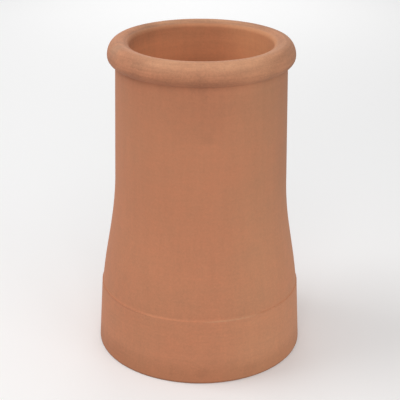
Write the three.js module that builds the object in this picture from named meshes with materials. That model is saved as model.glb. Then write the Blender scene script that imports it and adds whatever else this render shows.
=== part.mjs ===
// A roll-top clay chimney pot: one open-ended fired-clay pipe that stands on a chimney stack.
// It has a rolled rim, a plain barrel that widens very slightly downwards, a swept flare,
// and a straight foot band that stands a little proud of the flare.
// Units are millimetres, +Z is up, and the origin is the middle of the foot's underside.
import * as THREE from "three";

// Overall height, and the heights of the two lower parts
const potHeight = 450;
const bandHeight = 94.5;
const flareHeight = 156;

// The bore at the top, and the thickness of the clay
const boreRadius = 98.4;
const wallThickness = 19;
const footWallThickness = 20.5;

// How far each part spreads beyond the one above it, on the radius
const barrelSpread = 3.8;
const flareSpread = 20.3;
const ledgeWidth = 1.3;
const bandSpread = 5.3;

// The ledge slopes up from the band's rounded top edge to the flare
const ledgeRise = 1.6;

// The rolled rim outside: how far it stands out, its crown, its underside and the cove below
const rollProjection = 10.6;
const rollCrownInset = 14;
const rollUpperRise = 20;
const rollUnderInset = 17.7;
const rollUnderDrop = 14;
const rollCoveRadius = 2.5;

// The rolled rim inside: an easy fall to a rounded lip over the bore
const lipFall = 2.6;
const lipRound = 6;

// The foot's two edges
const footRound = 2;
const footInnerChamfer = 3;

// The flare's two ends: how far each holds its line, as a share of the flare, and the lower slope
const flareTopReach = 0.4;
const flareFootReach = 0.34;
const flareFootSlope = 0.1;

// Facets and colour
const turnSegments = 72;
const clayColour = 0xb87d60;

// Radii outside, worked downwards from the neck under the roll
const neckRadius = boreRadius + wallThickness;
const rollRadius = neckRadius + rollProjection;
const barrelFootRadius = neckRadius + barrelSpread;
const flareFootRadius = barrelFootRadius + flareSpread;
const bandTopRadius = flareFootRadius + ledgeWidth;
const footRadius = bandTopRadius + bandSpread;

// Heights above the foot
const flareFootHeight = bandHeight + ledgeRise;
const flareTopHeight = flareFootHeight + flareHeight;
const rollMiddleHeight = potHeight - rollUpperRise;
const rollFootHeight = rollMiddleHeight - rollUnderDrop;

// The barrel loses this much radius for each millimetre of height
const barrelTaper = barrelSpread / (rollFootHeight - flareTopHeight);

const point = (radius, height) => new THREE.Vector2(radius, height);

// An arc of an ellipse between two angles, counted from straight outwards and positive upwards
function arc(centre, across, up, fromAngle, toAngle) {
  const clockwise = toAngle < fromAngle;
  return new THREE.EllipseCurve(centre.x, centre.y, across, up, fromAngle, toAngle, clockwise);
}

const outwards = 0;
const upwards = Math.PI / 2;
const inwards = Math.PI;
const downwards = -Math.PI / 2;

// The outside of the foot band, from the underside up to the ledge
function footBand() {
  const ledgeSoftening = ledgeWidth / 2;
  const footEdge = point(footRadius - footRound, footRound);
  const ledgeEdge = point(bandTopRadius - ledgeSoftening, bandHeight);
  return [
    ...arc(footEdge, footRound, footRound, downwards, outwards).getPoints(3),
    ...arc(ledgeEdge, ledgeSoftening, ledgeSoftening, outwards, upwards).getPoints(2),
  ];
}

// The flare's swept line from the ledge up to the barrel, set in by a depth of wall
function flare(setIn) {
  const foot = point(flareFootRadius - setIn, flareFootHeight);
  const top = point(barrelFootRadius - setIn, flareTopHeight);
  const footHold = flareFootReach * flareHeight;
  const topHold = flareTopReach * flareHeight;
  return new THREE.CubicBezierCurve(
    foot,
    point(foot.x - flareFootSlope * footHold, foot.y + footHold),
    point(top.x + barrelTaper * topHold, top.y - topHold),
    top,
  );
}

// The bead of the roll, from the cove under it out to its widest line and over to the crown
function rollOutside() {
  const under = point(rollRadius - rollUnderInset, rollMiddleHeight);
  const over = point(rollRadius - rollCrownInset, rollMiddleHeight);
  const coveEndRadius = neckRadius + rollCoveRadius;
  const meetAngle = -Math.acos((coveEndRadius - under.x) / rollUnderInset);
  const coveEndHeight = rollMiddleHeight + rollUnderDrop * Math.sin(meetAngle);
  const cove = point(coveEndRadius, coveEndHeight - rollCoveRadius);
  return [
    ...arc(cove, rollCoveRadius, rollCoveRadius, inwards, upwards).getPoints(2),
    ...arc(under, rollUnderInset, rollUnderDrop, meetAngle, outwards).getPoints(6).slice(1),
    ...arc(over, rollCrownInset, rollUpperRise, outwards, upwards).getPoints(8).slice(1),
  ];
}

// The fall from the crown to the lip, and the lip's round over into the bore
function rollInside() {
  const crown = point(rollRadius - rollCrownInset, potHeight);
  const lip = point(boreRadius + lipRound, potHeight - lipFall - lipRound);
  const lipTop = point(lip.x, lip.y + lipRound);
  const fall = new THREE.QuadraticBezierCurve(crown, point((crown.x + lip.x) / 2, crown.y), lipTop);
  return [
    ...fall.getPoints(3).slice(1, -1),
    ...arc(lip, lipRound, lipRound, upwards, inwards).getPoints(5),
  ];
}

// The closed section of the wall: up the outside, over the roll, down the inside to the foot
function wallSection() {
  const footInside = footRadius - footWallThickness;
  const section = [
    ...footBand(),
    ...flare(0).getPoints(11),
    ...rollOutside(),
    ...rollInside(),
    ...flare(wallThickness).getPoints(9).reverse(),
    point(footInside, footInnerChamfer),
    point(footInside + footInnerChamfer, 0),
  ];
  return [...section, section[0].clone()];
}

// A lathe turns about Y, so the turned wall is tipped up to stand along Z
function turnedWall() {
  return new THREE.LatheGeometry(wallSection(), turnSegments).rotateX(Math.PI / 2);
}

const clay = new THREE.MeshStandardMaterial({ color: clayColour, roughness: 0.9, metalness: 0 });
const chimneyPot = new THREE.Mesh(turnedWall(), clay);
chimneyPot.name = "chimney_pot";

const part = new THREE.Group();
part.add(chimneyPot);

export default part;
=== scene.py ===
# %% [markdown]
# # A roll-top chimney pot
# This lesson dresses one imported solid, a terracotta chimney pot, so that it looks like fired clay.
# The pot is a single piece, turned about an upright axis, so nearly all of it follows from one
# outline: the section through its wall. We draw that outline finely, sweep it round with Geometry
# Nodes, press the small unevenness of handwork into it, and then give the clay its colour, grain
# and matt finish.

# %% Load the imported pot
from math import acos, cos, dist, hypot, pi, radians, sin

import bpy
from mathutils import Matrix, Vector
from mathutils.geometry import interpolate_bezier


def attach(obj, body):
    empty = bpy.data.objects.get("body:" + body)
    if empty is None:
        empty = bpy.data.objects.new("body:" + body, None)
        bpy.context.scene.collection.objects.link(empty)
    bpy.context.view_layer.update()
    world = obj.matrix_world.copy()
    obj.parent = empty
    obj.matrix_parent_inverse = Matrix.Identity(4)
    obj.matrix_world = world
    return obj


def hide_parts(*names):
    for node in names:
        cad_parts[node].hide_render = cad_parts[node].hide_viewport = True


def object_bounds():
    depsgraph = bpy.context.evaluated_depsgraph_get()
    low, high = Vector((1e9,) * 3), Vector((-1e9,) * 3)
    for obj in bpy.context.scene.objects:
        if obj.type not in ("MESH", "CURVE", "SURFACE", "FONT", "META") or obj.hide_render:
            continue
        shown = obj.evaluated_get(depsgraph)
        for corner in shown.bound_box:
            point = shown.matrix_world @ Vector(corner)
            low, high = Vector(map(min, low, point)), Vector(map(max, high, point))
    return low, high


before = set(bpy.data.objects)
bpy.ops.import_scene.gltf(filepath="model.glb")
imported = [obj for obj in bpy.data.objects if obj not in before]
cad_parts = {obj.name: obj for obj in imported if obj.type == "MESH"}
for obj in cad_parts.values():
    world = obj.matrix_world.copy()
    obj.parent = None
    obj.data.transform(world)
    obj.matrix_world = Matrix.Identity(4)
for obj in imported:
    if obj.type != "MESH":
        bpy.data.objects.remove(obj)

MM = 0.001
cad_low, cad_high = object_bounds()
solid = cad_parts["chimney_pot"]
print(f"solid: {cad_high.x * 2 / MM:.1f} mm across the foot, {cad_high.z / MM:.1f} mm high")

# %% [markdown]
# ## The camera
# The photograph looks down on the pot from a little above its rim, from about a metre and a half
# away. We could nudge a camera by eye, but the rim and the foot are both circles, and the way that
# each flattens to an ellipse fixes the distance and the tilt. The sizes below come from that. The
# picture also leans by half a degree, which is a turn of the camera about its own line of sight.

# %% Place the camera
CAMERA_PLACE = Vector((-0.4, -1431.9, 821.1)) * MM
LOOKS_DOWN = radians(22.98)
LEANS = radians(0.48)
FOCAL_PIXELS = 1084.8
PICTURE_PIXELS = 400

camera = bpy.data.objects.new("camera", bpy.data.cameras.new("camera"))
camera.data.lens = FOCAL_PIXELS / PICTURE_PIXELS * camera.data.sensor_width
camera.matrix_world = (
    Matrix.Translation(CAMERA_PLACE)
    @ Matrix.Rotation(pi / 2 - LOOKS_DOWN, 4, "X")
    @ Matrix.Rotation(LEANS, 4, "Z")
)
bpy.context.scene.collection.objects.link(camera)
bpy.context.scene.camera = camera
print(f"camera: {camera.data.lens:.1f} mm lens, {CAMERA_PLACE.length:.2f} m from the foot")

# %% [markdown]
# ## The section through the wall
# Cut the pot from top to bottom through its axis, and each half of the cut shows the same closed
# outline: up the foot band, over the little ledge, along the sweep of the flare, up the barrel,
# round the roll, over the lip, and down the inside again. A spline drawn by hand would do, but
# arcs and curves worked out from sizes keep the roll round and the walls even. The height and the
# foot's width come from the solid, and the rest are the potter's own sizes.

# %% Name the pot's sizes
pot_height = cad_high.z
foot_radius = cad_high.x

band_spread = 5.3 * MM
ledge_width = 1.3 * MM
flare_spread = 20.3 * MM
barrel_spread = 3.8 * MM
roll_projection = 10.6 * MM

band_height = 94.5 * MM
ledge_rise = 0.3 * MM
flare_height = 157.3 * MM

wall = 19.0 * MM
foot_wall = 20.5 * MM

band_top_radius = foot_radius - band_spread
flare_foot_radius = band_top_radius - ledge_width
barrel_foot_radius = flare_foot_radius - flare_spread
neck_radius = barrel_foot_radius - barrel_spread
roll_radius = neck_radius + roll_projection
bore_radius = neck_radius - wall
print(f"radii from foot to bore: {foot_radius / MM:.1f} {neck_radius / MM:.1f} {bore_radius / MM:.1f} mm")

# %% Write helpers that draw straight and round stretches of an outline
OUTWARDS, UPWARDS, INWARDS, DOWNWARDS = 0.0, pi / 2, pi, -pi / 2


def at(radius, height):
    """A point of the section, as its distance from the axis and its height."""
    return Vector((radius, height))


def straight(start, stop, steps):
    """Evenly spaced points on a line, both ends included."""
    return [start.lerp(stop, step / steps) for step in range(steps + 1)]


def arc(centre, across, up, start, stop, steps):
    """Points on part of an ellipse. Angles count from straight outwards towards straight up."""
    angles = [start + (stop - start) * step / steps for step in range(steps + 1)]
    return [centre + Vector((across * cos(angle), up * sin(angle))) for angle in angles]


def joined(*stretches):
    """One outline from several stretches, without the points that they share."""
    outline = []
    for point in (p for stretch in stretches for p in stretch):
        if not outline or dist(point, outline[-1]) > 0.02 * MM:
            outline.append(point)
    return outline


# %% [markdown]
# The flare is the pot's one free line. It leaves the ledge almost upright, leans in, and eases
# into the barrel with no corner, so each end holds the slope of what it meets. A cubic Bezier
# curve does just that: its two handles are the two slopes. The inside of the wall is the same
# line again, set in by the thickness of the clay.

# %% Draw the foot band, the flare and the barrel
roll_upper_rise = 20.0 * MM
roll_under_drop = 14.0 * MM
roll_middle_height = pot_height - roll_upper_rise
flare_foot_height = band_height + ledge_rise
flare_top_height = flare_foot_height + flare_height
barrel_taper = barrel_spread / (roll_middle_height - roll_under_drop - flare_top_height)

FLARE_TOP_REACH = 0.4
FLARE_FOOT_REACH = 0.34
FLARE_FOOT_SLOPE = 0.1
FOOT_ROUND = 2.0 * MM
LEDGE_ROUND = 0.3 * MM


def flare(set_in, steps):
    """The flare from the ledge up to the barrel."""
    foot = at(flare_foot_radius - set_in, flare_foot_height)
    top = at(barrel_foot_radius - set_in, flare_top_height)
    foot_hold = FLARE_FOOT_REACH * flare_height
    top_hold = FLARE_TOP_REACH * flare_height
    foot_pull = foot + at(-FLARE_FOOT_SLOPE * foot_hold, foot_hold)
    top_pull = top + at(barrel_taper * top_hold, -top_hold)
    return interpolate_bezier(foot, foot_pull, top_pull, top, steps + 1)


def foot_band():
    """The outside of the band, from the rounded foot to the crisp edge of the ledge."""
    foot_edge = at(foot_radius - FOOT_ROUND, FOOT_ROUND)
    ledge_edge = at(band_top_radius - LEDGE_ROUND, band_height - LEDGE_ROUND)
    return joined(
        arc(foot_edge, FOOT_ROUND, FOOT_ROUND, DOWNWARDS, OUTWARDS, 6),
        straight(at(foot_radius, FOOT_ROUND), at(band_top_radius, band_height - LEDGE_ROUND), 34),
        arc(ledge_edge, LEDGE_ROUND, LEDGE_ROUND, OUTWARDS, UPWARDS, 4),
        straight(at(ledge_edge.x, band_height), at(flare_foot_radius, flare_foot_height), 3),
    )


# %% [markdown]
# The roll is a fat bead. Seen in section its top is a quarter of an ellipse, taller than it is
# wide, and its underside tucks back to the neck on a flatter one, where a fingertip has run round
# and left a small cove. Inside, the clay falls gently from the crown and rounds over into the
# bore, which is what a wet sponge does to a fresh lip.

# %% Draw the roll and the lip
ROLL_CROWN_INSET = 14.0 * MM
ROLL_UNDER_INSET = 17.7 * MM
ROLL_COVE = 2.5 * MM
LIP_FALL = 2.6 * MM
LIP_ROUND = 6.0 * MM

crown = at(roll_radius - ROLL_CROWN_INSET, pot_height)


def roll_outside():
    """From the cove under the roll out to its widest line, and over to the crown."""
    under = at(roll_radius - ROLL_UNDER_INSET, roll_middle_height)
    over = at(crown.x, roll_middle_height)
    cove_end = neck_radius + ROLL_COVE
    meet = -acos((cove_end - under.x) / ROLL_UNDER_INSET)
    cove = at(cove_end, roll_middle_height + roll_under_drop * sin(meet) - ROLL_COVE)
    return joined(
        arc(cove, ROLL_COVE, ROLL_COVE, INWARDS, UPWARDS, 5),
        arc(under, ROLL_UNDER_INSET, roll_under_drop, meet, OUTWARDS, 12),
        arc(over, ROLL_CROWN_INSET, roll_upper_rise, OUTWARDS, UPWARDS, 18),
    )


def roll_inside():
    """From the crown down the gentle fall, and over the lip into the bore."""
    lip = at(bore_radius + LIP_ROUND, pot_height - LIP_FALL - LIP_ROUND)
    lip_top = at(lip.x, lip.y + LIP_ROUND)
    pull = at((crown.x + lip_top.x) / 2, crown.y)
    fall = interpolate_bezier(crown, crown.lerp(pull, 2 / 3), lip_top.lerp(pull, 2 / 3), lip_top, 9)
    return joined(fall, arc(lip, LIP_ROUND, LIP_ROUND, UPWARDS, INWARDS, 12))


# %% [markdown]
# Now the stretches are laid end to end. Where the surface will be looked at closely the points
# are two or three millimetres apart, and down the hidden inside they are wider. To be sure that
# the finer pot is still the same pot, we measure how far each corner of the solid's own outline
# lies from the new one.

# %% Join the section and compare it with the solid
FOOT_CHAMFER = 3.0 * MM
foot_inside = foot_radius - foot_wall
outside = joined(foot_band(), flare(0.0, 56), roll_outside())
barrel_top = outside.index(min(outside, key=lambda p: p.x))
inside_flare = list(reversed(flare(wall, 22)))
inside = joined(
    roll_inside(),
    straight(at(bore_radius, pot_height - LIP_FALL - LIP_ROUND), inside_flare[0], 26),
    inside_flare,
    straight(inside_flare[-1], at(foot_inside, FOOT_CHAMFER), 12),
    straight(at(foot_inside, FOOT_CHAMFER), at(foot_inside + FOOT_CHAMFER, 0.0), 3),
    straight(at(foot_inside + FOOT_CHAMFER, 0.0), at(foot_radius - FOOT_ROUND, 0.0), 6),
)
barrel = straight(outside[barrel_top - 1], outside[barrel_top], 62)
section = joined(outside[:barrel_top], barrel, outside[barrel_top:], inside)[:-1]


def gap_to_section(point):
    """The distance from a point to the nearest side of the closed section."""
    gaps = []
    for start, stop in zip(section, section[1:] + section[:1]):
        side = stop - start
        along = max(0.0, min(1.0, (point - start).dot(side) / side.length_squared))
        gaps.append(dist(point, start + side * along))
    return min(gaps)


outline_of_solid = {(round(hypot(v.co.x, v.co.y), 6), round(v.co.z, 6)) for v in solid.data.vertices}
worst_gap = max(gap_to_section(Vector(corner)) for corner in outline_of_solid)
print(f"section: {len(section)} points, within {worst_gap / MM:.3f} mm of the solid's outline")

# %% [markdown]
# ## A small kit for node trees
# Both Geometry Nodes and materials are trees of nodes, and both need sums: a mask times a depth,
# one noise minus another. Wiring each Math node by hand hides the idea, so we wrap a socket in a
# small class that knows the signs +, - and *. Every other node comes from one method, which takes
# the kind of node, its settings, and what goes into its sockets.


class Signal:
    """The output of a node, which can be added, subtracted and multiplied."""

    def __init__(self, wiring, socket):
        self.wiring = wiring
        self.socket = socket

    def sum_with(self, operation, first, second):
        return self.wiring.node("ShaderNodeMath", {"operation": operation}, {0: first, 1: second})

    def __add__(self, other):
        return self.sum_with("ADD", self, other)

    def __radd__(self, other):
        return self.sum_with("ADD", other, self)

    def __sub__(self, other):
        return self.sum_with("SUBTRACT", self, other)

    def __rsub__(self, other):
        return self.sum_with("SUBTRACT", other, self)

    def __mul__(self, other):
        return self.sum_with("MULTIPLY", self, other)

    def __rmul__(self, other):
        return self.sum_with("MULTIPLY", other, self)


class Wiring:
    """Adds nodes to one tree."""

    def __init__(self, tree):
        self.tree = tree

    def node(self, kind, settings=None, values=None, output=0):
        """Adds a node, sets it up, fills its sockets, and gives back one of its outputs."""
        made = self.tree.nodes.new(kind)
        for name, setting in (settings or {}).items():
            setattr(made, name, setting)
        for name, value in (values or {}).items():
            if isinstance(value, Signal):
                self.tree.links.new(value.socket, made.inputs[name])
            else:
                made.inputs[name].default_value = value
        return Signal(self, made.outputs[output])

    def vector(self, operation, first, second):
        """A sum on vectors, which keeps all three of their numbers."""
        return self.node("ShaderNodeVectorMath", {"operation": operation}, {0: first, 1: second})

    def noise(self, place, scale, detail=2.0, seed=0.0, roughness=0.5):
        """Soft random lumps, from about -1 to 1, with the size of a lump about one over the scale."""
        texture = self.node(
            "ShaderNodeTexNoise",
            {"noise_dimensions": "4D"},
            {"Vector": place, "Scale": scale, "Detail": detail, "W": seed, "Roughness": roughness},
        )
        return (texture - 0.5) * 2.0

    def ramp(self, value, low, high, smooth=True):
        """0 where the value is under low, 1 where it is over high, and even or eased between."""
        kind = "SMOOTHSTEP" if smooth else "LINEAR"
        settings = {"interpolation_type": kind}
        values = {"Value": value, "From Min": low, "From Max": high}
        return self.node("ShaderNodeMapRange", settings, values)

    def hoops(self, place):
        """The place with its turn about the axis left out: what is the same all the way round."""
        flat = self.vector("MULTIPLY", place, (1.0, 1.0, 0.0))
        radius = self.node("ShaderNodeVectorMath", {"operation": "LENGTH"}, {0: flat}, "Value")
        parts = self.node("ShaderNodeSeparateXYZ", {}, {0: place}, "Z")
        return self.node("ShaderNodeCombineXYZ", {}, {"X": radius, "Z": parts})


print("kit ready")

# %% [markdown]
# ## Sweeping the section round
# A Screw modifier would turn the section into a pot, and leave a seam to weld. Here the section
# becomes the profile of Curve to Mesh and a circle becomes its path. Both are closed, so the skin
# closes on itself with no seam at all. The same tree then works the surface. Clay that is turned
# and wiped by hand is never quite even: the wall wanders by up to three tenths of a millimetre,
# with small dents, and the sponge leaves hoops too faint to feel. All three are noise, pushed
# along the surface's own normal.
# Nor does the pot stand quite true. Its rim is a quarter of a degree out of level, the barrel
# bows a little to the right, and the ledge dips at both sides, as a tool held by hand cuts it.
# These are a lift and a shift that ramp in and out with the height.

# %% Draw the section as a curve
PATH_RADIUS = 100.0 * MM
LEDGE_DIP = 1.4 * MM

section_curve = bpy.data.curves.new("wall_section", "CURVE")
section_curve.dimensions = "3D"
spline = section_curve.splines.new("POLY")
spline.points.add(len(section) - 1)
for drawn, point in zip(spline.points, reversed(section)):
    drawn.co = (point.x - PATH_RADIUS, -point.y, 0.0, 1.0)
spline.use_cyclic_u = True
section_object = bpy.data.objects.new("wall_section", section_curve)
bpy.context.scene.collection.objects.link(section_object)
print(f"wall_section: {len(spline.points)} points in a closed curve")

# %% Build the tree that turns and works the clay
turning = bpy.data.node_groups.new("turned_clay", "GeometryNodeTree")
turning.interface.new_socket("Geometry", in_out="OUTPUT", socket_type="NodeSocketGeometry")


def add_input(name, kind, value=None):
    """Adds a named input to the turning tree."""
    socket = turning.interface.new_socket(name, in_out="INPUT", socket_type=kind)
    if value is not None:
        socket.default_value = value
    return socket.identifier


INPUTS = {
    "Wall Section": add_input("Wall Section", "NodeSocketObject"),
    "Clay": add_input("Clay", "NodeSocketMaterial"),
    "Turn Steps": add_input("Turn Steps", "NodeSocketInt", 320),
    "Path Radius": add_input("Path Radius", "NodeSocketFloat", PATH_RADIUS),
    "Wander": add_input("Wander", "NodeSocketFloat", 0.30 * MM),
    "Hoop Depth": add_input("Hoop Depth", "NodeSocketFloat", 0.08 * MM),
    "Dent Depth": add_input("Dent Depth", "NodeSocketFloat", 0.10 * MM),
    "Rim Tilt": add_input("Rim Tilt", "NodeSocketFloat", radians(0.26)),
    "Ledge Dip": add_input("Ledge Dip", "NodeSocketFloat", LEDGE_DIP),
    "Barrel Bow": add_input("Barrel Bow", "NodeSocketFloat", 0.6 * MM),
    "Seed": add_input("Seed", "NodeSocketFloat", 4.0),
}

wiring = Wiring(turning)
given = turning.nodes.new("NodeGroupInput").outputs


def taken(name):
    """The signal of one of the tree's named inputs."""
    return Signal(wiring, given[name])


circle = wiring.node(
    "GeometryNodeCurvePrimitiveCircle",
    {"mode": "RADIUS"},
    {"Resolution": taken("Turn Steps"), "Radius": taken("Path Radius")},
)
path = wiring.node("GeometryNodeSetCurveNormal", {"mode": "Z_UP"}, {"Curve": circle})
profile = wiring.node(
    "GeometryNodeObjectInfo", {}, {"Object": taken("Wall Section")}, "Geometry"
)
skin = wiring.node("GeometryNodeCurveToMesh", {}, {"Curve": path, "Profile Curve": profile})
print(f"turned_clay: {len(INPUTS)} inputs")

# %% Work the surface
WANDER_SCALE = 9.0
DENT_SCALE = 45.0
HOOP_SCALE = 160.0
HOOP_BREAK = (0.04, 0.04, 0.04)
CUT_FOOT, WORKED_FOOT = 1.0 * MM, 12.0 * MM

place = wiring.node("GeometryNodeInputPosition")
normal = wiring.node("GeometryNodeInputNormal")
height = wiring.node("ShaderNodeSeparateXYZ", {}, {0: place}, "Z")

wander = wiring.noise(place, WANDER_SCALE, 1.0, taken("Seed")) * taken("Wander")
dents = wiring.noise(place, DENT_SCALE, 2.0, taken("Seed")) * taken("Dent Depth")
hoop_place = wiring.vector("ADD", wiring.hoops(place), wiring.vector("MULTIPLY", place, HOOP_BREAK))
hoops = wiring.noise(hoop_place, HOOP_SCALE, 2.0, taken("Seed")) * taken("Hoop Depth")

clear_of_foot = wiring.ramp(height, CUT_FOOT, WORKED_FOOT)
relief = (wander + dents + hoops) * clear_of_foot
push = wiring.node("ShaderNodeVectorMath", {"operation": "SCALE"}, {0: normal, "Scale": relief})
worked = wiring.node("GeometryNodeSetPosition", {}, {"Geometry": skin, "Offset": push})
print(f"turned_clay: {len(turning.nodes)} nodes that turn and work the clay")

# %% Set the pot a little out of true and finish the tree
LEDGE_BLEND = 60.0 * MM
TILT_STARTS, TILT_WHOLE = 60.0 * MM, 20.0 * MM
BOW_STARTS, BOW_WHOLE = 90.0 * MM, 160.0 * MM

across = wiring.node("ShaderNodeSeparateXYZ", {}, {0: place}, "X")
near_rim = wiring.ramp(height, pot_height - TILT_STARTS, pot_height - TILT_WHOLE)
rim_lift = across * taken("Rim Tilt") * near_rim

share_out = across * (1.0 / band_top_radius)
near_ledge = wiring.ramp(height, band_height - LEDGE_BLEND, band_height)
past_ledge = wiring.ramp(height, flare_foot_height, flare_foot_height + LEDGE_BLEND)
ledge_drop = share_out * share_out * (near_ledge - past_ledge) * taken("Ledge Dip")

over_flare = wiring.ramp(height, band_height + BOW_STARTS, pot_height - BOW_WHOLE)
bow = (over_flare - near_rim) * taken("Barrel Bow")

lift = wiring.node("ShaderNodeCombineXYZ", {}, {"X": bow, "Z": rim_lift - ledge_drop})
tilted = wiring.node("GeometryNodeSetPosition", {}, {"Geometry": worked, "Offset": lift})
smooth = wiring.node("GeometryNodeSetShadeSmooth", {}, {"Geometry": tilted})
real = wiring.node("GeometryNodeRealizeInstances", {}, {"Geometry": smooth})
dressed = wiring.node("GeometryNodeSetMaterial", {}, {"Geometry": real, "Material": taken("Clay")})
turning.links.new(dressed.socket, turning.nodes.new("NodeGroupOutput").inputs["Geometry"])
print(f"turned_clay: {len(turning.nodes)} nodes in all")

# %% [markdown]
# ## The clay
# Terracotta is a matt, open, slightly dusty surface. Its colour comes from the iron in the clay
# and from the fire, so it drifts softly over the pot, from a pinker to a sandier orange. On top
# of that lie a finer mottle, a grain like sand, level lines where the sponge was drawn round,
# longer smears where the slip lies thick and thin, and upright lines where the clay was dragged
# up out of the press. Each is one noise on Object coordinates, which stay with the clay whatever
# the camera does, and each is kept faint: the pot is new and clean, and from a step away it
# looks almost one colour.

# %% Place the textures
clay = bpy.data.materials.new("terracotta_clay")
clay.use_nodes = True
clay.node_tree.nodes.clear()
shade = Wiring(clay.node_tree)

CLOUD_SCALE, MOTTLE_SCALE, SAND_SCALE = 9.0, 30.0, 320.0
WIPE_SCALE, SMEAR_SCALE, DRAG_SCALE = 260.0, 70.0, 120.0
DRAG_STRETCH = (1.0, 1.0, 0.08)
WIPE_BREAK = (0.05, 0.05, 0.05)
SMEAR_BREAK = (0.25, 0.25, 0.25)

spot = shade.node("ShaderNodeTexCoord", {}, {}, "Object")
around = shade.hoops(spot)
wipe_place = shade.vector("ADD", around, shade.vector("MULTIPLY", spot, WIPE_BREAK))
smear_place = shade.vector("ADD", around, shade.vector("MULTIPLY", spot, SMEAR_BREAK))

clouds = shade.noise(spot, CLOUD_SCALE, detail=2.0, seed=2.0)
mottle = shade.noise(spot, MOTTLE_SCALE, detail=4.0, seed=5.0, roughness=0.85)
sand = shade.noise(spot, SAND_SCALE, detail=3.0, seed=8.0, roughness=0.8)
wiped = shade.noise(wipe_place, WIPE_SCALE)
smeared = shade.noise(smear_place, SMEAR_SCALE, detail=4.0, seed=6.0, roughness=0.7)
dragged = shade.noise(shade.vector("MULTIPLY", spot, DRAG_STRETCH), DRAG_SCALE, seed=1.0)
print(f"clay: {len(clay.node_tree.nodes)} nodes for its textures")

# %% [markdown]
# A mask says where something shows: 1 there, 0 elsewhere, and a soft edge between. Each one here
# is a ramp over the height, over the distance from the axis, or over how far a spot lies to the
# right or to the back. One ramp less another is a stripe, and the product of two masks is where
# both of them hold. The flue is what lies near the axis. It widens towards the foot with the
# flare, so the limit between inside and outside moves out with it.

# %% Mark the regions of the pot


def along(axis):
    """How far each spot lies along one of the axes."""
    return shade.node("ShaderNodeSeparateXYZ", {}, {0: spot}, axis)


def rises(value, low, high):
    """0 below the first size and 1 above the second, both in millimetres."""
    return shade.ramp(value, low * MM, high * MM)


def falls(value, low, high):
    """1 below the first size and 0 above the second, both in millimetres."""
    return 1.0 - rises(value, low, high)


to_right, to_back, spot_height = along("X"), along("Y"), along("Z")
below_crown = pot_height - spot_height
from_axis = shade.node("ShaderNodeSeparateXYZ", {}, {0: around}, "X")
past_bore = from_axis - bore_radius

FLARE_OF_FLUE = 24.0 * MM
FLUE_WIDE, FLUE_NARROW = 80.0 * MM, 250.0 * MM
FOOT_WAVE = 10.0 * MM

past_flue = past_bore + shade.ramp(spot_height, FLUE_WIDE, FLUE_NARROW, smooth=False) * FLARE_OF_FLUE
in_flue = falls(past_flue, 24.0, 32.0)
outside_flue = 1.0 - in_flue
on_roll = falls(below_crown, 20.0, 38.0)
bead = on_roll * outside_flue
on_band = falls(spot_height - band_height, -1.0, 1.0)
low_down = falls(spot_height, 60.0, 320.0)
near_foot = falls(spot_height + mottle * FOOT_WAVE, 6.0, 40.0)
print("clay: flue, bead, band and foot marked")

# %% [markdown]
# The clay is a little pinker on the left and sandier on the right, as the fire reached it. The top of the
# roll is painted paler. Partly this is fine slip that the sponge left in streaks, and partly it is
# painted light where the light falls on top, strongest at the front. The inside is painted a shade
# lighter, standing in for the light that bounces round the flue, and the foot is darker and browner
# towards the ground. A Mix node lays one colour over another, and the same node set to Multiply tints it.

# %% Colour the clay
SANDY_CLAY = (0.560, 0.250, 0.129, 1.0)
PINK_CLAY = (0.590, 0.226, 0.116, 1.0)
# Pale slip and painted highlight: this paler colour paints the light on the top and front of the roll,
# and on the front of the ledge.
PALE_SLIP_AND_HIGHLIGHT = (0.600, 0.302, 0.168, 1.0)
FLUE_PAINTED_LIGHT = (1.115, 1.17, 1.09, 1.0)
FOOT_DARKENING = (0.86, 0.83, 0.79, 1.0)
PINK_SHARE, PINK_CLOUDS, PINK_MOTTLE, SANDY_ON_RIGHT = 0.72, 0.3, 0.5, 0.5
TOP_SLIP_AND_LIGHT_SHARE, FRONT_LIGHT_SHARE, SLIP_STREAKS = 0.42, 0.45, 0.45
FRONT_WHOLE, FRONT_ENDS = 45.0 * MM, 105.0 * MM


def mixed(share, first, second, blend="MIX"):
    """One colour over another, where share says how much of the second one shows."""
    settings = {"data_type": "RGBA", "blend_type": blend}
    return shade.node("ShaderNodeMix", settings, {0: share, 6: first, 7: second}, 2)


in_front = 1.0 - shade.ramp(to_right * to_right, FRONT_WHOLE ** 2, FRONT_ENDS ** 2)
# Slip streaks and painted light: the top of the roll is painted paler where the light falls, most of all
# at the front.
slip_and_light_cover = in_front * FRONT_LIGHT_SHARE + smeared * SLIP_STREAKS + TOP_SLIP_AND_LIGHT_SHARE
slip_and_painted_light = falls(below_crown, 1.0, 26.0) * outside_flue * slip_and_light_cover
pinkness = clouds * PINK_CLOUDS + mottle * PINK_MOTTLE + PINK_SHARE
pinkness = pinkness - rises(to_right, 15.0, 85.0) * SANDY_ON_RIGHT

ground = mixed(pinkness, SANDY_CLAY, PINK_CLAY)
ground = mixed(slip_and_painted_light, ground, PALE_SLIP_AND_HIGHLIGHT)
# Painted light: the flue is made a shade lighter, standing in for the light that bounces round inside it.
ground = mixed(in_flue, ground, FLUE_PAINTED_LIGHT, "MULTIPLY")
# The foot is made darker and browner towards the ground.
ground = mixed(near_foot, ground, FOOT_DARKENING, "MULTIPLY")
print("clay: ground colour, slip on the roll, stain at the foot and a lighter flue")

# %% [markdown]
# The textures make the ground lighter or darker, each by its own amount in each region. The
# sponge went round the roll and the foot band, so level lines are strongest there. The barrel
# and the flare keep their upright drag marks.

# %% Lay the textures over the colour
REGIONS = {"everywhere": 1.0, "roll": bead, "flue": in_flue, "band": on_band, "low": low_down}


def strength(**amounts):
    """How strongly a texture shows: the sum of its amounts in the regions named."""
    total = 0.0
    for region, amount in amounts.items():
        total = REGIONS[region] * amount + total
    return total


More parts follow.
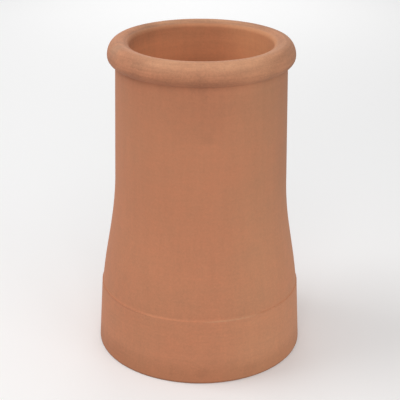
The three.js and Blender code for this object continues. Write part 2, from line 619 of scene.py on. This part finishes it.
tone = (
    mottle * strength(everywhere=0.09, roll=0.06, low=0.04)
    + sand * strength(everywhere=0.12, roll=0.14, low=0.06)
    + wiped * strength(everywhere=0.03, roll=0.17, flue=0.03, band=0.03)
    + smeared * strength(roll=0.16, flue=0.08)
    + dragged * strength(everywhere=0.05, roll=-0.05)
)
print(f"clay: textures laid in {len(REGIONS)} regions")

# %% [markdown]
# The clay is also painted lighter or darker by place, mostly as painted light and shade. Painted shade
# darkens the mouth of the flue on the left and at the back, the roll away from its top and front, the
# back and the underside of the roll, the neck under the roll, the right edge of the barrel and the bottom
# edge of the foot. Painted light brightens the flue below its mouth, and a painted highlight brightens
# the front of the lip. High up on the right the clay is darker, and the foot band and the lower right
# side are a little lighter. Each place is a mask with an amount: above 0 it is lighter, below 0 darker.

# %% Paint light and shade on the clay by place
PLACES = {
    "foot band": (on_band, 0.045),
    # Painted shade: a dark line along the bottom edge, where the foot meets the floor.
    "painted contact shade on the bottom edge of the foot": (falls(spot_height, 1.0, 3.5), -0.35),
    # Painted shadow: the neck is darker under the roll, where the roll shades it.
    "painted shadow on the neck under the roll": (falls(below_crown, 45.0, 130.0) - on_roll, -0.06),
    # Painted shade: the underside of the bead, which faces down, is darker.
    "painted shade on the underside of the bead": (falls(below_crown, 34.0, 42.0) - falls(below_crown, 14.0, 30.0), -0.04),
    # Painted shade: the roll is darker where its top and front are not painted paler.
    "painted shade on the roll off its top and front": (bead - slip_and_painted_light, -0.11),
    # Painted shade: the back of the roll is darker.
    "painted shade on the back of the roll": (rises(to_back, 20.0, 95.0) * bead, -0.16),
    "right side": (rises(to_right, 20.0, 105.0) * outside_flue, 0.06),
    "upper right side": (
        rises(to_right, 20.0, 105.0) * rises(spot_height, 130.0, 330.0) * outside_flue, -0.11
    ),
    # Painted shade: the right edge of the barrel, where little light comes from the right, is darker.
    "painted shade on the right edge of the barrel": (
        rises(to_right, 92.0, 116.0) * rises(spot_height, 180.0, 300.0) * outside_flue, -0.06
    ),
    # Painted shade: the lip and the top of the flue are darker on the left and at the back, the side the
    # light does not reach.
    "painted shade in the mouth of the flue, left and back": (
        falls(past_bore, 4.0, 10.0) * falls(below_crown, 10.0, 28.0)
        * rises(to_back - to_right, -20.0, 80.0), -0.20
    ),
    # Painted light: the flue a little below its mouth is lighter.
    "painted light in the flue below its mouth": (
        (falls(below_crown, 42.0, 68.0) - falls(below_crown, 15.0, 42.0)) * in_flue, 0.09
    ),
    # Painted highlight: the inner edge of the lip at the front is lighter, where it catches the light.
    "painted highlight on the front of the lip": (
        falls(past_bore, 5.0, 14.0) * falls(below_crown, 4.0, 9.0) * falls(to_back, -90.0, -50.0), 0.12
    ),
}
for mask, amount in PLACES.values():
    tone = tone + mask * amount
print(f"clay: {len(PLACES)} places shaded")

# %% [markdown]
# Where the band meets the flare a tool has cut a clean little ledge. Its edge is painted pale in front, a
# painted highlight where the light catches it. Towards the sides the ledge is made darker, as a thin dark
# line. The ledge dips at the sides, and both lines follow it.

# %% Line the ledge
LEDGE_DARKENING, LESS_DARKENING_ON_RIGHT = 0.11, 0.04
LEDGE_HIGHLIGHT = 0.7

sideways = to_right * (1.0 / band_top_radius)
aside = shade.ramp(sideways * sideways, 0.20, 0.40)
over_ledge = spot_height + sideways * sideways * LEDGE_DIP - band_height
ledge_dark_line = rises(over_ledge, -3.5, -1.0) - rises(over_ledge, 0.3, 1.5)
ledge_highlight_line = rises(over_ledge, -2.0, -0.6) - rises(over_ledge, 0.2, 1.0)
highlit_part = shade.ramp(sideways, -0.05, 0.22) * (1.0 - aside)
# Painted highlight: the edge of the ledge is painted pale at the front, where the light catches it.
ground = mixed(ledge_highlight_line * highlit_part * LEDGE_HIGHLIGHT, ground, PALE_SLIP_AND_HIGHLIGHT)
# The ledge is made darker towards the sides, a little more on the left.
tone = tone - ledge_dark_line * aside * (LEDGE_DARKENING - sideways * LESS_DARKENING_ON_RIGHT)
print("clay: pale line in front of the ledge, dark line at its sides")

# %% [markdown]
# No pot leaves the yard quite spotless. This one has a fingertip mark and a few smudges low down, and a
# painted shadow lies under the front of the bead. The roll and the wall of the flue also have longer
# light and dark stretches than noise happens to give, so they are placed to agree with the photograph.
# Some of these are painted light and shade: painted light on the wall of the flue on the right, and
# painted shade deep in the flue, on the lip at the left back and on the left back of the roll. Each is a
# soft blot round a place on the clay, with its edge broken by the mottle. At the left end of the roll a
# patch is greyer too, dust with a painted sheen, and is laid on as a tint.

# %% Smudge the clay
BLOT_BREAK, BLOT_CORE = 0.6, 0.2
BLOTS = {
    "fingertip mark on the barrel": ((9, -118, 349), 11, -0.04),
    "shade below the middle of the roll": ((8, -118, 385), 62, -0.045),
    # Painted shadow just under the front of the bead.
    "painted shadow under the bead": ((2, -124, 419), 24, -0.10),
    "smudge low in front": ((2, -147, 17), 12, -0.07),
    "smudge low on the right": ((70, -129, 14), 16, -0.07),
    "smudge low on the left": ((-114, -91, 23), 22, -0.07),
    # Painted shade on the inner lip at the left back, which the light does not reach.
    "painted shade on the lip at the left back": ((-97, 36, 445), 22, -0.08),
    # Painted light: two patches of the flue wall on the right are lighter, where the light from the left
    # falls.
    "painted light on the wall of the flue": ((68, 70, 414), 44, 0.14),
    "painted light on the flue wall right of the lip": ((90, 40, 424), 24, 0.08),
    # Painted shade deep in the flue.
    "painted shade deep in the flue": ((5, 98, 400), 45, -0.07),
    "left end of the roll": ((-117, -24, 441), 28, -0.10),
    "left front of the roll": ((-98, -76, 437), 34, -0.05),
    "left front of the roll, low down": ((-108, -68, 422), 18, 0.10),
    "left front of the roll, nearer the middle": ((-72, -108, 415), 26, 0.10),
    "right front of the roll": ((73, -105, 427), 30, 0.11),
    "right front of the roll, low down": ((58, -112, 417), 22, 0.08),
    "left front of the roll, upper side": ((-82, -97, 432), 22, -0.08),
    "right end of the roll, low down": ((104, -72, 422), 22, 0.08),
    # Painted shade on the left back of the roll.
    "painted shade on the left back of the roll": ((-85, 72, 448), 38, -0.10),
    "right painted shade on the back of the roll": ((45, 112, 447), 40, 0.10),
}


def blot(centre, reach):
    """1 in the middle of a soft round blot, and 0 outside it."""
    away = shade.node("ShaderNodeVectorMath", {"operation": "DISTANCE"}, {0: spot, 1: centre}, "Value")
    return 1.0 - shade.ramp(away + mottle * (reach * BLOT_BREAK), reach * BLOT_CORE, reach)


for centre, reach, amount in BLOTS.values():
    tone = tone + blot(Vector(centre) * MM, reach * MM) * amount

# Dust and painted sheen: the left end of the roll, seen at a low angle, is tinted greyer.
DUST_AND_SHEEN_PLACE, DUST_AND_SHEEN_REACH = Vector((-113, -43, 445)) * MM, 24.0 * MM
DUST_AND_SHEEN_TINT = (0.84, 0.93, 1.0, 1.0)
ground = mixed(blot(DUST_AND_SHEEN_PLACE, DUST_AND_SHEEN_REACH), ground, DUST_AND_SHEEN_TINT, "MULTIPLY")
toned = shade.node("ShaderNodeHueSaturation", {}, {"Color": ground, "Value": tone + 1.0})
print(f"clay: {len(BLOTS)} smudges and patches")

# %% [markdown]
# Fired clay scatters light from every grain, so it has no highlight to speak of, only a dusty
# bloom where it is seen at a low angle. The roughness is high and moves a little with the
# mottle, a faint sheen stands for the dust, and a Bump node gives the sandy grain, which is too
# fine for the mesh.

# %% Finish the clay
DUST_SCALE = 2200.0
SAND_IN_GRAIN, DUST_IN_GRAIN = 0.6, 0.4
GRAIN_HEIGHT, GRAIN_STRENGTH = 0.25 * MM, 0.35
ROUGHNESS, ROUGHNESS_MOTTLE = 0.80, 0.08
DUSTY_SHEEN = (1.0, 0.9, 0.82, 1.0)

grain = sand * SAND_IN_GRAIN + shade.noise(spot, DUST_SCALE, 1.0, 3.0) * DUST_IN_GRAIN
bump_values = {"Height": grain, "Strength": GRAIN_STRENGTH, "Distance": GRAIN_HEIGHT}
bump = shade.node("ShaderNodeBump", {}, bump_values)
surface = shade.node(
    "ShaderNodeBsdfPrincipled",
    {},
    {
        "Base Color": toned,
        "Roughness": ROUGHNESS + mottle * ROUGHNESS_MOTTLE,
        "Normal": bump,
        "IOR": 1.45,
        "Sheen Weight": 0.04,
        "Sheen Roughness": 0.5,
        "Sheen Tint": DUSTY_SHEEN,
    },
)
output = clay.node_tree.nodes.new("ShaderNodeOutputMaterial")
clay.node_tree.links.new(surface.socket, output.inputs["Surface"])
print(f"terracotta_clay: {len(clay.node_tree.nodes)} nodes")

# %% [markdown]
# ## The pot itself
# The tree runs as a modifier on an empty mesh. Its inputs are set by their identifiers before
# the object is first evaluated, the result is copied to a plain mesh, and the modifier and the
# drawn section are taken away again. What is left is one closed skin that stands in for the
# solid.

# %% Turn the pot
pot_mesh = bpy.data.meshes.new("terracotta_pot")
pot = bpy.data.objects.new("terracotta_pot", pot_mesh)
bpy.context.scene.collection.objects.link(pot)
lathe = pot.modifiers.new("turned_clay", "NODES")
lathe.node_group = turning
lathe[INPUTS["Wall Section"]] = section_object
lathe[INPUTS["Clay"]] = clay

depsgraph = bpy.context.evaluated_depsgraph_get()
turned = bpy.data.meshes.new_from_object(pot.evaluated_get(depsgraph))
pot.modifiers.clear()
pot.data = turned
turned.name = "terracotta_pot"
bpy.data.objects.remove(section_object)
print(f"terracotta_pot: {len(turned.vertices)} points, {2 * len(turned.polygons)} triangles")

# %% Put the pot in the place of the solid
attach(pot, "root")
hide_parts("chimney_pot")
print("terracotta_pot rides on root")

# %% [markdown]
# ## Floor and light
# The photograph has the even light of a white tent: bright all round, also from below, with a
# little more from the front, from low on the right, from high on the left and from low behind. A
# white world is the tent, and four large area lights are the rest. A real floor near the pot
# would throw back more than its share, so the floor is left out of what lights the pot, and the
# tent shines up instead.

# %% Lay the floor
FLOOR_REACH = 9.0
FLOOR_WHITE = (0.96, 0.96, 0.96, 1.0)
FLOOR_ROUGHNESS = 0.9

floor_mesh = bpy.data.meshes.new("floor")
signs = ((-1, -1), (1, -1), (1, 1), (-1, 1))
floor_corners = [(x * FLOOR_REACH, y * FLOOR_REACH, 0.0) for x, y in signs]
floor_mesh.from_pydata(floor_corners, [], [(0, 1, 2, 3)])
floor = bpy.data.objects.new("floor", floor_mesh)
bpy.context.scene.collection.objects.link(floor)
pale = bpy.data.materials.new("pale_floor")
pale.use_nodes = True
paint = pale.node_tree.nodes["Principled BSDF"].inputs
paint["Base Color"].default_value = FLOOR_WHITE
paint["Roughness"].default_value = FLOOR_ROUGHNESS
floor.data.materials.append(pale)
floor.visible_diffuse = False
print(f"floor: {2 * FLOOR_REACH:.0f} m each way")

# %% Hang the lights
TENT_STRENGTH = 0.54
LIGHT_DISTANCE = 2.6
LIGHT_WIDTH = 1.4

world = bpy.data.worlds.new("studio")
bpy.context.scene.world = world
world.use_nodes = True
world.node_tree.nodes["Background"].inputs["Color"].default_value = (1.0, 1.0, 1.0, 1.0)
world.node_tree.nodes["Background"].inputs["Strength"].default_value = TENT_STRENGTH


def soft_light(name, turn, rise, power):
    """A square light that faces the pot. Turn counts in degrees from the front to the right."""
    light = bpy.data.lights.new(name, "AREA")
    light.size = LIGHT_WIDTH
    light.energy = power
    lamp = bpy.data.objects.new(name, light)
    level = cos(radians(rise))
    outwards = Vector((sin(radians(turn)) * level, -cos(radians(turn)) * level, sin(radians(rise))))
    place = Vector((0.0, 0.0, pot_height / 2)) + outwards * LIGHT_DISTANCE
    facing = (-outwards).to_track_quat("-Z", "Y").to_matrix().to_4x4()
    lamp.matrix_world = Matrix.Translation(place) @ facing
    bpy.context.scene.collection.objects.link(lamp)
    print(f"{name}: {power:.0f} W")


soft_light("front_light", turn=0, rise=38, power=13.0)
soft_light("right_low_light", turn=45, rise=20, power=8.8)
soft_light("left_high_light", turn=-90, rise=52, power=22.0)
soft_light("back_low_light", turn=180, rise=20, power=9.0)

view = bpy.context.scene.view_settings
view.view_transform = "Standard"
